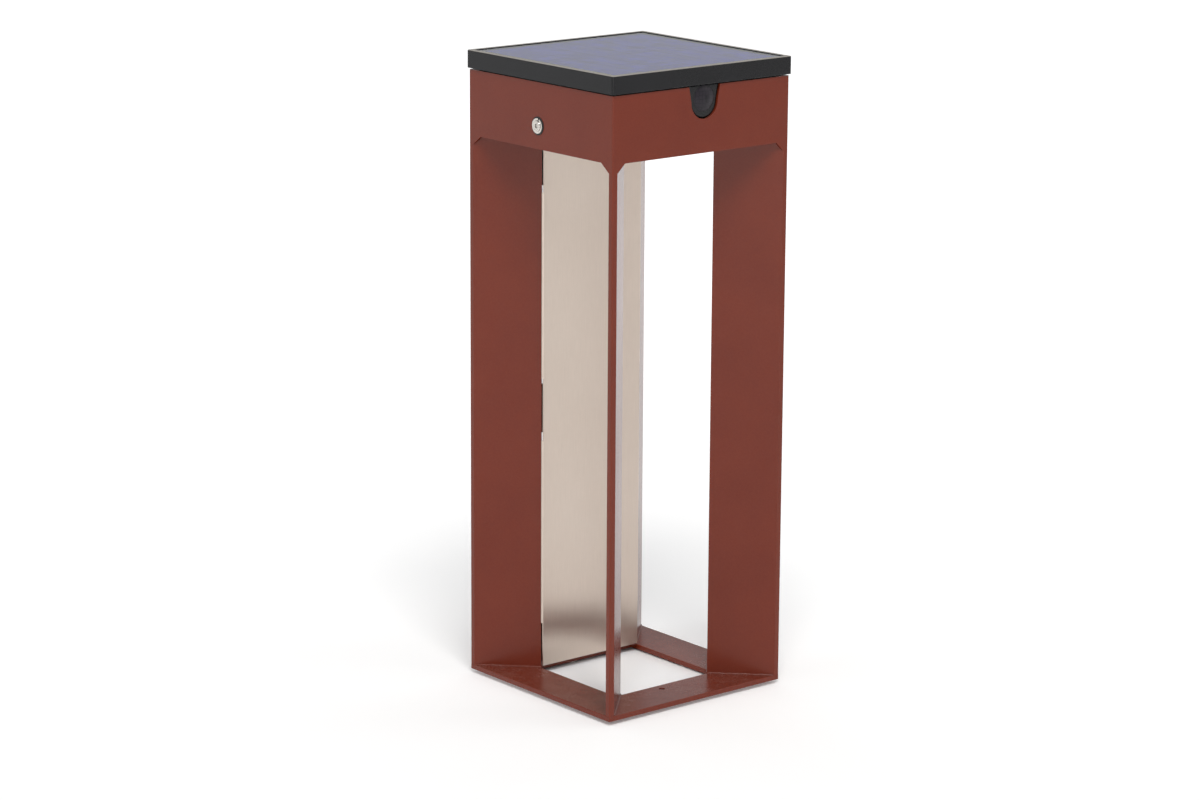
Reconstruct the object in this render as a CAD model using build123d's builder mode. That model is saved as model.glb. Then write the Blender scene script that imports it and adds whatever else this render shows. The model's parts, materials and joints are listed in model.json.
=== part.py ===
from build123d import *
from math import sqrt
import os

# Wall-hung solar lantern. Millimetres, +Z up, the front (motion sensor) faces -Y and the wall is at +Y.
# The origin is the middle of the white bottom plate's underside.

# ---- driving dimensions: frame ---------------------------------------------------------------------
body_side = 142.6            # collar and base plate, across
plate_side = 112.0           # white plate under the base
plate_thickness = 1.5
plate_corner = 3.0
drain_at = (-23.7, -32.4)    # drain hole of the white plate
drain_radius = 1.5
plate_gap = 1.0              # drain gap between white plate and base
base_thickness = 3.2
base_corner = 0.6
base_edge = 0.4              # round of the base's top edges
opening_side = 81.6          # square opening in the base
opening_corner = 0.8
fin_thickness = 5.2
fin_inner = 38.4             # plan coordinate of a fin's inner end, on X and on Y
fin_top = 361.5
collar_bottom = 356.0
collar_top = 397.8
collar_wall = 1.8
side_ear = 11.2              # ears of the two side faces, width from the corner
front_ear = 9.6              # ears of the front and the back
ear_tip = 350.2              # height where an ear meets the fin's edge
ear_round = 4.5
corner_round = 0.8
seam_height = 2.6            # the collar's corner reaches this far below the ear tips

# ---- driving dimensions: solar module --------------------------------------------------------------
lid_side = 145.0
lid_bottom = 398.8
lid_top = 410.1
lid_rim = 3.5
lid_skirt = 2.6
lid_floor = 2.0
glass_sink = 0.4             # glass below the rim
glass_thickness = 2.4
cell_thickness = 0.4
backsheet_thickness = 0.8
adhesive_thickness = 0.6
cell_columns = 6
cell_rows = 2
cell_gap = 1.2
housing_side = 133.0
housing_corner = 4.0
housing_wall = 2.0
housing_floor = 2.2
pad_thickness = 1.0
gasket_thickness = 1.0
sensor_x = 1.5
sensor_z = 390.0
lens_radius = 8.0
notch_half_top = 12.9
notch_radius = 10.65
notch_centre = 387.8
window_radius = 38.0         # light window in the housing floor
lock_y = 1.5
lock_z = 370.6
lock_radius = 2.5            # M5
insert_radius = 3.5          # threaded insert of the lock screw, in the collar

# ---- driving dimensions: stainless reflector -------------------------------------------------------
reflector_front = 34.6       # Y of the visible face
reflector_sheet = 1.0
reflector_half = 40.0        # half width without the lips
reflector_lip = 0.8
reflector_bottom = 7.0
reflector_top = 356.5
clip_heights = (24.0, 178.5, 340.0)
clip_height = 32.0
clip_sheet = 1.6
clip_leg = 17.0
stud_x = 24.0
notch_bands = ((reflector_bottom, 36.0), (158.5, 199.5), (320.5, reflector_top))

# ---- driving dimensions: fits, on a radius or a face -----------------------------------------------
press_fit = 0.02
close_fit = 0.03
running_fit = 0.05
seal_fit = 0.08
slip_fit = 0.1
loose_fit = 0.2

# ---- derived levels --------------------------------------------------------------------------------
half = body_side / 2
inner_half = half - collar_wall
base_bottom = plate_thickness + plate_gap
base_top = base_bottom + base_thickness
corner_bottom = ear_tip - seam_height              # lower end of the collar's corners
flush = fin_thickness / sqrt(2)                    # width of a fin's flush edge on each outer face
housing_bottom = fin_top + pad_thickness
floor_top = housing_bottom + housing_floor
adhesive_top = lid_top - glass_sink - glass_thickness - cell_thickness - backsheet_thickness
floor_of_lid = adhesive_top - adhesive_thickness
under_lid = floor_of_lid - lid_floor
housing_top = under_lid - gasket_thickness
housing_half = housing_side / 2
recess_half = lid_side / 2 - lid_rim
reflector_back = reflector_front + reflector_sheet

open_fixing = (-8.0, -47.5)  # the plate screw whose hole goes right through the base
plate_fixings = [open_fixing, (-8.0, 47.5), (47.5, -8.0), (-47.5, -8.0)]
housing_fixings = [(60.0, 47.0), (-60.0, 47.0), (-60.0, -47.0), (60.0, -47.0)]
board_fixings = [(45.0, -47.0), (-45.0, -47.0), (45.0, -7.0), (-45.0, -7.0)]
wall_hole_x = 45.0
wall_hole_z = 380.0
wall_hole_radius = 2.5

seated = (Align.CENTER, Align.CENTER, Align.MIN)   # a solid that stands on its place
hanging = (Align.CENTER, Align.CENTER, Align.MAX)  # a solid that hangs from its place

os.makedirs("parts", exist_ok=True)


def save(piece, name):
    piece.part.label = name
    export_step(piece.part, f"parts/{name}.step")


def level(height):
    return Plane.XY.offset(height)


def facing(x, y, z, direction):
    return Plane(origin=(x, y, z), z_dir=direction)


# ---- base ------------------------------------------------------------------------------------------
screw_radius = 2.0           # M4
screw_head = 3.8
screw_rise = 0.05            # screw heads, above the plate's underside
head_cone = 1.2              # height of a countersunk head
screw_cover = 0.8            # base left over a blind screw hole
spacer_radius = 5.5
socket_radius = 1.1
socket_depth = 1.4

with BuildPart() as bottom_plate:
    with BuildSketch(level(0)):
        RectangleRounded(plate_side, plate_side, plate_corner)
    extrude(amount=plate_thickness)
    with Locations([facing(x, y, 0, (0, 0, -1)) for x, y in plate_fixings]):
        CounterSinkHole(radius=screw_radius + loose_fit, counter_sink_radius=screw_head,
                        counter_sink_angle=110)
    with Locations((*drain_at, plate_thickness)):
        Hole(radius=drain_radius)
save(bottom_plate, "bottom_plate")

with BuildPart() as plate_spacers:
    with BuildSketch(level(plate_thickness)):
        with Locations(plate_fixings):
            Circle(spacer_radius)
            Circle(screw_radius + slip_fit, mode=Mode.SUBTRACT)
    extrude(amount=plate_gap)
save(plate_spacers, "plate_spacers")

with BuildPart() as plate_screws:
    with Locations([(x, y, screw_rise) for x, y in plate_fixings]):
        Cone(screw_head - loose_fit, screw_radius, head_cone, align=seated)
        Cylinder(screw_radius, base_top - screw_cover - 2 * screw_rise, align=seated)
    with Locations([facing(x, y, screw_rise, (0, 0, -1)) for x, y in plate_fixings]):
        Hole(radius=socket_radius, depth=socket_depth)
save(plate_screws, "plate_screws")

with BuildPart() as base_plate:
    with BuildSketch(level(base_bottom)):
        RectangleRounded(body_side, body_side, base_corner)
        RectangleRounded(opening_side, opening_side, opening_corner, mode=Mode.SUBTRACT)
    extrude(amount=base_thickness)
    outer_loops = base_plate.faces().filter_by(Axis.Z).edges().filter_by_position(Axis.Z, base_top, base_top)
    fillet(outer_loops, base_edge)
    with Locations([facing(x, y, base_bottom, (0, 0, -1)) for x, y in plate_fixings]):
        Hole(radius=screw_radius + close_fit, depth=base_thickness - screw_cover)
    with Locations((*open_fixing, base_top)):
        Hole(radius=screw_radius + close_fit)
save(base_plate, "base_plate")


# ---- collar ----------------------------------------------------------------------------------------
def notch_outline(shrink):
    """Edges of the U-shaped sensor notch, drawn smaller all round by shrink."""
    top = collar_top + 2 - shrink
    with BuildLine(Plane.XY) as outline:
        low_left = (sensor_x - notch_radius + shrink, notch_centre)
        low_right = (sensor_x + notch_radius - shrink, notch_centre)
        Polyline(
            low_left,
            (sensor_x - notch_half_top + shrink, top),
            (sensor_x + notch_half_top - shrink, top),
        )
        Line(low_right, (sensor_x + notch_half_top - shrink, top))
        ThreePointArc(low_right, (sensor_x, notch_centre - notch_radius + shrink), low_left)
    return outline.edges()


with BuildPart() as collar:
    with BuildSketch(level(corner_bottom)):
        Rectangle(body_side, body_side)
        Rectangle(2 * inner_half, 2 * inner_half, mode=Mode.SUBTRACT)
    extrude(amount=collar_top - corner_bottom)
    outer_corners = collar.edges().filter_by(Axis.Z).group_by(lambda e: round(abs(e.center().X), 1))[-1]
    fillet(outer_corners, corner_round)
    for side, ear_width in ((Plane.XZ, front_ear), (Plane.YZ, side_ear)):
        with BuildSketch(side):
            with BuildLine():
                Polyline(
                    (-half + flush, corner_bottom - 1),
                    (-half + flush, ear_tip),
                    (-half + ear_width, collar_bottom),
                    (half - ear_width, collar_bottom),
                    (half - flush, ear_tip),
                    (half - flush, corner_bottom - 1),
                    close=True,
                )
            face = make_face()
            fillet(face.vertices().filter_by(lambda v: v.Z > corner_bottom), ear_round)
        extrude(amount=body_side, both=True, mode=Mode.SUBTRACT)
    with BuildSketch(Plane.XZ):
        make_face(notch_outline(0))
    extrude(amount=body_side, mode=Mode.SUBTRACT)
    with Locations(facing(-half, lock_y, lock_z, (-1, 0, 0))):
        Hole(radius=insert_radius, depth=collar_wall)
    with Locations([facing(x, inner_half, wall_hole_z, (0, -1, 0)) for x in (-wall_hole_x, wall_hole_x)]):
        Hole(radius=wall_hole_radius, depth=collar_wall)
save(collar, "collar")


# ---- fins ------------------------------------------------------------------------------------------
rivet_radius = 1.6
rivet_depth = 4.0
bend_x = reflector_back + clip_sheet / 2 - flush - clip_sheet / sqrt(2)   # plan X of a clip's bend
rivet_reach = 12.0           # rivet from the bend, along the fin
rivet_at = bend_x + rivet_reach / sqrt(2)
rivet_y = reflector_back + clip_sheet / 2 + rivet_reach / sqrt(2)
rivet_along = (rivet_at + rivet_y) / 2


def fin_plate(name, turn, rivet_side=0):
    q = flush / 2
    ground = level(base_top).rotated((0, 0, turn))
    with BuildPart() as fin:
        with BuildSketch(ground):
            with BuildLine():
                Polyline(
                    (fin_inner + q, fin_inner - q),
                    (half, half - flush),
                    (half, half),
                    (half - flush, half),
                    (fin_inner - q, fin_inner + q),
                    close=True,
                )
            make_face()
        extrude(amount=fin_top - base_top)
        corner = fin.edges().filter_by(Axis.Z).sort_by_distance(ground.from_local_coords((half, half, 0)))[0]
        fillet(corner, corner_round)
        # the outer corner makes room for the collar
        add(collar.part, mode=Mode.SUBTRACT)
        if rivet_side:
            for height in clip_heights:
                # rivet holes are blind, on the side that faces away from the front
                place = Vector(rivet_along - rivet_side * q, rivet_along + rivet_side * q, height - base_top)
                spot = ground.from_local_coords(place)
                out = ground.from_local_coords((-rivet_side, rivet_side, 0)) - ground.origin
                with Locations(Plane(origin=spot, z_dir=out)):
                    Hole(radius=rivet_radius + press_fit, depth=rivet_depth)
    save(fin, name)


fin_plate("fin_front_left", 180)
fin_plate("fin_front_right", -90)
fin_plate("fin_back_left", 90, rivet_side=-1)
fin_plate("fin_back_right", 0, rivet_side=1)

pad_length = 14.0
pad_inset = 0.6              # a pad is narrower than its fin
pad_corner = 1.2
pad_reach = 78.0             # middle of a pad, from the lantern's axis

with BuildPart() as rest_pads:
    for turn in (45, 135, 225, 315):
        with BuildSketch(level(fin_top).rotated((0, 0, turn))):
            with Locations((pad_reach, 0)):
                RectangleRounded(pad_length, fin_thickness - pad_inset, pad_corner)
        extrude(amount=pad_thickness)
save(rest_pads, "rest_pads")


# ---- stainless reflector ---------------------------------------------------------------------------
lip_root = 0.6               # how far a lip reaches over the sheet
lip_fold = 0.4
stud_radius = 1.5            # M3
stud_length = 6.0
stud_places = [(side * stud_x, z) for side in (-1, 1) for z in clip_heights]

with BuildPart() as steel_reflector:
    with BuildSketch(Plane.XZ.offset(-reflector_front)):
        with Locations((0, (reflector_bottom + reflector_top) / 2)):
            Rectangle(2 * reflector_half, reflector_top - reflector_bottom)
    extrude(amount=-reflector_sheet)
    # edge lips, folded back, left out where the clips sit
    for (low, start), (end, high) in zip(notch_bands, notch_bands[1:]):
        with BuildSketch(level(start)):
            for side in (-1, 1):
                with BuildLine():
                    Polyline(
                        (side * (reflector_half - lip_root), reflector_back),
                        (side * (reflector_half - lip_root), reflector_front),
                        (side * reflector_half, reflector_front),
                        (side * (reflector_half + reflector_lip), reflector_front + reflector_lip),
                        (side * (reflector_half + reflector_lip), reflector_back + lip_fold),
                        (side * reflector_half, reflector_back),
                        close=True,
                    )
                make_face()
        extrude(amount=end - start)
save(steel_reflector, "steel_reflector")

with BuildPart() as reflector_studs:
    with Locations([facing(x, reflector_back, z, (0, 1, 0)) for x, z in stud_places]):
        Cylinder(stud_radius, stud_length, align=seated)
save(reflector_studs, "reflector_studs")

clip_tab = 6.0               # how far a clip reaches past its stud

with BuildPart() as reflector_clips:
    for height in clip_heights:
        for side in (-1, 1):
            bend = (side * bend_x, reflector_back + clip_sheet / 2)
            reach = clip_leg / sqrt(2)
            with BuildSketch(level(height - clip_height / 2)):
                with BuildLine():
                    leg = Polyline(
                        (side * (stud_x - clip_tab), bend[1]),
                        bend,
                        (bend[0] + side * reach, bend[1] + reach),
                    )
                    offset(leg, amount=clip_sheet / 2, kind=Kind.INTERSECTION)
                make_face()
            extrude(amount=clip_height)
    with Locations([facing(x, reflector_back + clip_sheet, z, (0, 1, 0)) for x, z in stud_places]):
        Hole(radius=stud_radius + slip_fit, depth=clip_sheet)
    for side in (-1, 1):
        outer = clip_sheet / sqrt(2) / 2
        with Locations([facing(side * (rivet_at - outer), rivet_y + outer, z, (-side, 1, 0))
                        for z in clip_heights]):
            Hole(radius=rivet_radius + slip_fit, depth=clip_sheet)
save(reflector_clips, "reflector_clips")

rivet_head = 3.1
rivet_rise = 1.1
rivet_length = 5.0
rivet_round = 0.8

with BuildPart() as clip_rivets:
    for side in (-1, 1):
        outer = clip_sheet / sqrt(2) / 2
        with Locations([facing(side * (rivet_at - outer), rivet_y + outer, z, (-side, 1, 0))
                        for z in clip_heights]):
            Cylinder(rivet_head, rivet_rise, align=seated)
            Cylinder(rivet_radius, rivet_length, align=hanging)
    rims = clip_rivets.edges().filter_by(GeomType.CIRCLE).filter_by(lambda rim: rim.radius > rivet_radius)
    fillet(rims.group_by(Axis.Y)[-1], rivet_round)
save(clip_rivets, "clip_rivets")

nut_flat = 2.75              # half the width across the flats
nut_height = 2.4

with BuildPart() as stud_nuts:
    for x, z in stud_places:
        with BuildSketch(facing(x, reflector_back + clip_sheet, z, (0, 1, 0))):
            RegularPolygon(radius=nut_flat, side_count=6, major_radius=False)
            Circle(stud_radius + press_fit, mode=Mode.SUBTRACT)
        extrude(amount=nut_height)
save(stud_nuts, "stud_nuts")


# ---- lock screw ------------------------------------------------------------------------------------
seal_thickness = 0.3
seal_radius = 5.7
washer_thickness = 0.55
washer_radius = 4.8
washer_split = 0.9
split_angle = 71             # the split, from the front towards the top
head_radius = 3.4
head_height = 0.5            # low flat head
head_round = 0.35
hex_flat = 1.35              # half the width across the flats
hex_depth = 1.7
insert_flange = 5.0
flange_thickness = 1.5
seal_outside = -half - seal_thickness
washer_outside = seal_outside - washer_thickness
head_seat_x = washer_outside - running_fit
screw_tip = -housing_half - 0.3
tip_chamfer = 0.5
split_reach = (washer_radius - 0.9, 4.0)             # middle and length of the cut in the washer

with BuildPart() as lock_nut:
    with BuildSketch(facing(-half + slip_fit, lock_y, lock_z, (1, 0, 0))):
        Circle(insert_radius - press_fit)
        Circle(lock_radius + running_fit, mode=Mode.SUBTRACT)
    extrude(amount=collar_wall - slip_fit)
    with BuildSketch(facing(-inner_half, lock_y, lock_z, (1, 0, 0))):
        Circle(insert_flange)
        Circle(lock_radius + running_fit, mode=Mode.SUBTRACT)
    extrude(amount=flange_thickness)
save(lock_nut, "lock_nut")

with BuildPart() as lock_seal:
    with BuildSketch(facing(-half, lock_y, lock_z, (-1, 0, 0))):
        Circle(seal_radius)
        Circle(lock_radius + seal_fit, mode=Mode.SUBTRACT)
    extrude(amount=seal_thickness)
save(lock_seal, "lock_seal")

with BuildPart() as lock_washer:
    with BuildSketch(facing(seal_outside, lock_y, lock_z, (-1, 0, 0))):
        Circle(washer_radius)
        Circle(lock_radius + seal_fit, mode=Mode.SUBTRACT)
    extrude(amount=washer_thickness)
    with BuildSketch(Plane(origin=(seal_outside, lock_y, lock_z), x_dir=(0, -1, 0), z_dir=(-1, 0, 0))):
        with Locations(Rot(0, 0, split_angle)):
            with Locations((split_reach[0], 0)):
                Rectangle(split_reach[1], washer_split)
    extrude(amount=washer_thickness, mode=Mode.SUBTRACT)
save(lock_washer, "lock_washer")

with BuildPart() as lock_screw:
    with BuildSketch(facing(head_seat_x, lock_y, lock_z, (-1, 0, 0))):
        Circle(head_radius)
    extrude(amount=head_height)
    fillet(lock_screw.edges().group_by(Axis.X)[0], head_round)
    with BuildSketch(facing(head_seat_x - head_height, lock_y, lock_z, (1, 0, 0))):
        RegularPolygon(radius=hex_flat, side_count=6, major_radius=False)
    extrude(amount=hex_depth, mode=Mode.SUBTRACT)
    with BuildSketch(facing(head_seat_x, lock_y, lock_z, (1, 0, 0))):
        Circle(lock_radius)
    extrude(amount=screw_tip - head_seat_x)
    chamfer(lock_screw.edges().group_by(Axis.X)[-1], tip_chamfer)
save(lock_screw, "lock_screw")


# ---- lid and solar panel ---------------------------------------------------------------------------
lid_corner = 1.6
lid_edge = 0.5
post_radius = 3.5
post_bottom = 396.0
pilot_radius = 1.5
pilot_depth = 6.0
wire_slot_at = (28.0, 4.0)
wire_slot = (12.0, 8.0, 2.0)                         # sides and corner

with BuildPart() as lid_frame:
    with BuildSketch(level(lid_bottom)):
        RectangleRounded(lid_side, lid_side, lid_corner)
    extrude(amount=lid_top - lid_bottom)
    fillet(lid_frame.edges().group_by(Axis.Z)[-1], lid_edge)
    with BuildSketch(level(floor_of_lid)):
        Rectangle(2 * recess_half, 2 * recess_half)
    extrude(amount=lid_top - floor_of_lid, mode=Mode.SUBTRACT)
    with BuildSketch(level(lid_bottom)):
        Rectangle(lid_side - 2 * lid_skirt, lid_side - 2 * lid_skirt)
    extrude(amount=under_lid - lid_bottom, mode=Mode.SUBTRACT)
    with BuildSketch(level(post_bottom)):
        with Locations(housing_fixings):
            Circle(post_radius)
    extrude(amount=under_lid - post_bottom)
    with Locations([facing(x, y, post_bottom, (0, 0, -1)) for x, y in housing_fixings]):
        Hole(radius=pilot_radius, depth=pilot_depth)
    with BuildSketch(level(under_lid)):
        with Locations(wire_slot_at):
            RectangleRounded(*wire_slot)
    extrude(amount=lid_floor, mode=Mode.SUBTRACT)
save(lid_frame, "lid_frame")

panel_play = 0.3             # gap round the panel in its recess
panel_side = 2 * (recess_half - panel_play)
panel_corner = 1.0
panel_chamfer = 0.4
cell_margin = 4.0            # from the panel's edge to the cells
adhesive_width = 8.0
with BuildPart() as panel_glass:
    with BuildSketch(level(lid_top - glass_sink - glass_thickness)):
        RectangleRounded(panel_side, panel_side, panel_corner)
    extrude(amount=glass_thickness)
    chamfer(panel_glass.edges().group_by(Axis.Z)[-1], panel_chamfer)
save(panel_glass, "panel_glass")

cell_field = panel_side - 2 * cell_margin
with BuildPart() as solar_cells:
    pitch_x = cell_field / cell_columns
    pitch_y = cell_field / cell_rows
    with BuildSketch(level(adhesive_top + backsheet_thickness)):
        with GridLocations(pitch_x, pitch_y, cell_columns, cell_rows):
            Rectangle(pitch_x - cell_gap, pitch_y - cell_gap)
    extrude(amount=cell_thickness)
save(solar_cells, "solar_cells")

with BuildPart() as panel_backsheet:
    with BuildSketch(level(adhesive_top)):
        Rectangle(panel_side, panel_side)
    extrude(amount=backsheet_thickness)
save(panel_backsheet, "panel_backsheet")

with BuildPart() as panel_adhesive:
    with BuildSketch(level(floor_of_lid)):
        Rectangle(panel_side, panel_side)
        Rectangle(panel_side - 2 * adhesive_width, panel_side - 2 * adhesive_width, mode=Mode.SUBTRACT)
    extrude(amount=adhesive_thickness)
save(panel_adhesive, "panel_adhesive")


# ---- module housing --------------------------------------------------------------------------------
seat_radius = window_radius + 2.5
led_seat = housing_bottom + 5.5
board_level = 380.0
boss_top = 396.0
head_seat = 384.0
button_at = (30.0, -46.0)
port_at = (-24.0, -48.0)
button_radius = 5.0
slot_length = 10.0
slot_width = 4.4
slot_corner = 1.5
screw_boss = 4.2             # radius
board_boss = 3.0
screw_bore = 1.7             # housing screws in their bosses
head_bore = 3.2
board_pilot = 1.1
board_pilot_depth = 8.0
spigot_bore = 9.2            # round hole in the housing wall for the sensor bezel

with BuildPart() as module_housing:
    with BuildSketch(level(housing_bottom)):
        RectangleRounded(housing_side, housing_side, housing_corner)
    extrude(amount=housing_top - housing_bottom)
    with BuildSketch(level(floor_top)):
        inside = housing_side - 2 * housing_wall
        RectangleRounded(inside, inside, housing_corner - housing_wall)
    extrude(amount=housing_top - floor_top, mode=Mode.SUBTRACT)
    with BuildSketch(level(floor_top)):
        Circle(seat_radius)
    extrude(amount=led_seat - floor_top)
    with BuildSketch(level(floor_top)):
        with Locations(housing_fixings):
            Circle(screw_boss)
    extrude(amount=boss_top - floor_top)
    with BuildSketch(level(floor_top)):
        with Locations(board_fixings):
            Circle(board_boss)
    extrude(amount=board_level - floor_top)
    with BuildSketch(level(housing_bottom)):
        Circle(window_radius)
        with Locations(button_at):
            Circle(button_radius + running_fit)
        with Locations(port_at):
            RectangleRounded(slot_length, slot_width, slot_corner)
    extrude(amount=led_seat - housing_bottom, mode=Mode.SUBTRACT)
    with Locations([facing(x, y, housing_bottom, (0, 0, -1)) for x, y in housing_fixings]):
        CounterBoreHole(radius=screw_bore, counter_bore_radius=head_bore,
                        counter_bore_depth=head_seat - housing_bottom, depth=boss_top - housing_bottom)
    with Locations([(x, y, board_level) for x, y in board_fixings]):
        Hole(radius=board_pilot, depth=board_pilot_depth)
    with Locations(facing(sensor_x, -housing_half, sensor_z, (0, -1, 0))):
        Hole(radius=spigot_bore, depth=housing_wall)
save(module_housing, "module_housing")

with BuildPart() as housing_gasket:
    with BuildSketch(level(housing_top)):
        RectangleRounded(housing_side, housing_side, housing_corner)
        RectangleRounded(inside, inside, housing_corner - housing_wall, mode=Mode.SUBTRACT)
    extrude(amount=gasket_thickness)
save(housing_gasket, "housing_gasket")

cap_radius = 2.9             # heads of the housing screws
cap_height = 2.4
housing_screw_length = 17.0

with BuildPart() as housing_screws:
    with Locations([(x, y, head_seat) for x, y in housing_fixings]):
        Cylinder(cap_radius, cap_height, align=hanging)
        Cylinder(pilot_radius - running_fit, housing_screw_length, align=seated)
    with Locations([facing(x, y, head_seat - cap_height, (0, 0, -1)) for x, y in housing_fixings]):
        Hole(radius=socket_radius + slip_fit, depth=socket_depth)
save(housing_screws, "housing_screws")


# ---- motion sensor ---------------------------------------------------------------------------------
bezel_front = -half + 0.8
bezel_bore = 7.0
lens_rise = 1.7
lens_seat = 1.5              # depth of the lens's seat in the bezel
spigot_end = -60.0
bezel_shrink = 0.6           # the bezel is smaller than the notch all round
bezel_round = 1.4            # its front edge
can_radius = 4.5             # metal can of the motion sensor
can_height = 4.4
can_rim = (0.4, 0.6)         # width and height
can_window = (3.0, 4.0, 0.6)
sensor_board_size = (22.0, 20.0, 1.0)                # sides and corner
sensor_board_thickness = 1.2
trim_middle = 3.0            # block that trims the bezel's top, from the collar's top edge
trim_start = 0.8

with BuildPart() as sensor_bezel:
    with BuildSketch(Plane.XZ.offset(housing_half)):
        make_face(notch_outline(bezel_shrink))
        with Locations((sensor_x, collar_top + trim_middle)):
            Rectangle(4 * notch_radius, 2 * (trim_middle - trim_start), mode=Mode.SUBTRACT)
    extrude(amount=-bezel_front - housing_half)
    fillet(sensor_bezel.edges().group_by(Axis.Y)[0], bezel_round)
    with Locations(facing(sensor_x, -housing_half, sensor_z, (0, 1, 0))):
        Cylinder(spigot_bore - slip_fit, spigot_end + housing_half, align=seated)
    with Locations(facing(sensor_x, bezel_front, sensor_z, (0, -1, 0))):
        CounterBoreHole(radius=bezel_bore, counter_bore_radius=lens_radius + slip_fit,
                        counter_bore_depth=lens_seat)
save(sensor_bezel, "sensor_bezel")

with BuildPart() as sensor_lens:
    with BuildSketch(Plane.XY.offset(sensor_z)):
        with BuildLine():
            back = bezel_front + lens_seat
            apex = (sensor_x, bezel_front - lens_rise)
            rim = (sensor_x + lens_radius, bezel_front)
            Polyline(apex, (sensor_x, back), (sensor_x + lens_radius, back), rim)
            TangentArc(apex, rim, tangent=(1, 0))
        make_face()
    revolve(axis=Axis((sensor_x, 0, sensor_z), (0, 1, 0)))
save(sensor_lens, "sensor_lens")

with BuildPart() as pir_sensor:
    with Locations(facing(sensor_x, spigot_end, sensor_z, (0, -1, 0))):
        Cylinder(can_radius + can_rim[0], can_rim[1], align=seated)
        Cylinder(can_radius, can_height, align=seated)
    with Locations(facing(sensor_x, spigot_end - can_height, sensor_z, (0, -1, 0))):
        Box(*can_window, mode=Mode.SUBTRACT)
save(pir_sensor, "pir_sensor")

with BuildPart() as sensor_board:
    with BuildSketch(Plane.XZ.offset(-spigot_end)):
        with Locations((sensor_x, sensor_z)):
            RectangleRounded(*sensor_board_size)
    extrude(amount=-sensor_board_thickness)
save(sensor_board, "sensor_board")


# ---- light -----------------------------------------------------------------------------------------
flange_bottom = housing_bottom - 2.4
flange_top = housing_bottom - 0.8
flange_radius = 42.0
spigot_radius = window_radius - loose_fit
dome_bottom = flange_bottom - 2.5
dome_radius = 40.0
lens_wall = 2.0
led_rings = ((10.0, 4), (25.0, 8))   # radius, number of LEDs
led_height = 0.8
led_size = (3.5, 2.8)
led_board_play = 0.8         # round the board on its seat
led_board_thickness = 1.6
spigot_drop = 1.5            # the lens's collar ends this far short of the LED board
lens_hollow = 1.7            # the lens's inside bows down by this much

with BuildPart() as diffuser_lens:
    with BuildSketch(Plane.XZ):
        with BuildLine():
            Polyline(
                (dome_radius, flange_bottom),
                (flange_radius, flange_bottom),
                (flange_radius, flange_top),
                (spigot_radius, flange_top),
                (spigot_radius, led_seat - spigot_drop),
                (spigot_radius - lens_wall, led_seat - spigot_drop),
                (spigot_radius - lens_wall, flange_top),
            )
            crown = (0, flange_top - lens_hollow)
            TangentArc(crown, (spigot_radius - lens_wall, flange_top), tangent=(1, 0))
            Line(crown, (0, dome_bottom))
            TangentArc((0, dome_bottom), (dome_radius, flange_bottom), tangent=(1, 0))
        make_face()
    revolve(axis=Axis.Z)
save(diffuser_lens, "diffuser_lens")

with BuildPart() as diffuser_seal:
    with BuildSketch(level(flange_top)):
        Circle(flange_radius)
        Circle(window_radius, mode=Mode.SUBTRACT)
    extrude(amount=housing_bottom - flange_top)
save(diffuser_seal, "diffuser_seal")

with BuildPart() as led_board:
    with BuildSketch(level(led_seat)):
        Circle(seat_radius - led_board_play)
    extrude(amount=led_board_thickness)
save(led_board, "led_board")

with BuildPart() as leds:
    with BuildSketch(level(led_seat - led_height)):
        for radius, count in led_rings:
            with PolarLocations(radius, count):
                Rectangle(*led_size)
    extrude(amount=led_height)
save(leds, "leds")


# ---- electronics -----------------------------------------------------------------------------------
board_thickness = 1.6
board_top = board_level + board_thickness
board_middle = (0, -27.0)
board_size = (100.0, 50.0, 2.0)                      # sides and corner
board_hole = 1.4
board_screw = (2.3, 1.6)     # radius and height of a head
board_screw_radius = 1.05
board_screw_length = 8.0
connector_height = 6.0
connector_top = board_top + connector_height
connectors = {
    "battery": (40.0, -12.0),
    "panel": (20.0, -12.0),
    "led": (0.0, -12.0),
    "sensor": (sensor_x, -47.0),
}

with BuildPart() as main_board:
    with BuildSketch(level(board_level)):
        with Locations(board_middle):
            RectangleRounded(*board_size)
        with Locations(board_fixings):
            Circle(board_hole, mode=Mode.SUBTRACT)
    extrude(amount=board_thickness)
save(main_board, "main_board")

with BuildPart() as board_screws:
    with Locations([(x, y, board_top) for x, y in board_fixings]):
        Cylinder(*board_screw, align=seated)
        Cylinder(board_screw_radius, board_screw_length, align=hanging)
save(board_screws, "board_screws")

port_top = 371.5
port_board_thickness = 1.2
port_board_top = port_top + port_board_thickness
connector_block = (8.0, 6.0)
pin_strip = (10.0, 2.5)
chip = (9.0, 9.0, 1.2)
chip_at = (-20.0, -26.0)
coil_at = (8.0, -28.0)
capacitors_at = [(28.0, -30.0), (38.5, -30.0)]
transistors_at = [(-38.0, -22.0), (-38.0, -32.0)]
coil = (11.0, 11.0, 5.0)
transistor = (6.5, 6.0, 2.3)
capacitor_radius = 4.0
capacitor_height = 11.0

with BuildPart() as board_components:
    with Locations([(x, y, board_top) for x, y in connectors.values()]):
        Box(*connector_block, connector_height, align=seated)
    with Locations((*chip_at, board_top)):
        Box(*chip, align=seated)
    with Locations((*coil_at, board_top)):
        Box(*coil, align=seated)
    with Locations([(x, y, board_top) for x, y in capacitors_at]):
        Cylinder(capacitor_radius, capacitor_height, align=seated)
    with Locations([(x, y, board_top) for x, y in transistors_at]):
        Box(*transistor, align=seated)
    # pin strip down to the port board
    with Locations((*port_at, board_level)):
        Box(*pin_strip, board_level - port_board_top, align=hanging)
save(board_components, "board_components")

switch_side = 6.2
switch_height = 3.5
plunger_radius = 1.75
plunger_reach = 4.5

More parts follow.
